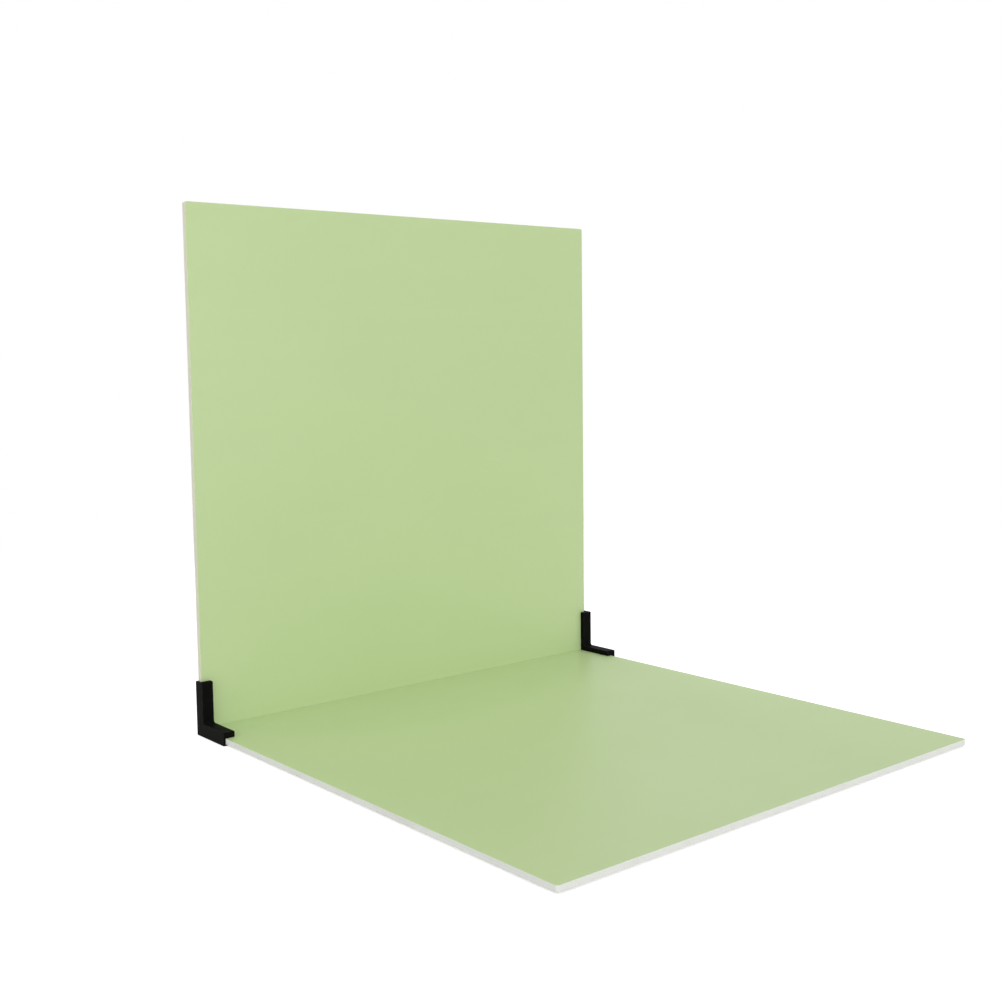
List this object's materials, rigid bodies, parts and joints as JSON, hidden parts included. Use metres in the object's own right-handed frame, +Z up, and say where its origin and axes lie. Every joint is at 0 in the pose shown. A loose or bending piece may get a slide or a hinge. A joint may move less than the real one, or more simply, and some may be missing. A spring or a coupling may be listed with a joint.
{
  "type": "tabletop backdrop board set",
  "caption": "Tabletop photo backdrop: a rigid base board and an upright back board with satin green faces, held square by slip-on L-shaped channel brackets so the set comes apart flat.",
  "frame": {"origin": "on the table, below the middle of the footprint", "axes": "+X along the seam to the right as seen from the front, +Y from the front edge to the back board, +Z up"},
  "size_m": [0.6095, 0.6084, 0.602],
  "materials": {
    "foam_core": "foamed PVC sheet with sawn white edges, faintly porous",
    "face_film": "pastel green laminated film, satin, with blurred reflections",
    "reverse_film": "plain white laminated film, satin",
    "bracket": "black moulded plastic, semi-matt with a fine spark texture"
  },
  "bodies": {
    "base_board": {"base_core": "foam_core", "base_face_film": "face_film", "base_reverse_film": "reverse_film"},
    "back_board": {"back_core": "foam_core", "back_face_film": "face_film", "back_reverse_film": "reverse_film"},
    "left_bracket": {"left_bracket": "bracket"},
    "right_bracket": {"right_bracket": "bracket"}
  },
  "joints": [
    {"name": "back_lift", "type": "slide", "parent": "base_board", "child": "back_board", "axis": [0, 0, 1], "range_m": [0, 0.08]},
    {"name": "left_pull", "type": "slide", "parent": "base_board", "child": "left_bracket", "axis": [-1, 0, 0], "range_m": [0, 0.03]},
    {"name": "right_pull", "type": "slide", "parent": "base_board", "child": "right_bracket", "axis": [1, 0, 0], "range_m": [-0.0041, 0.03]}
  ]
}
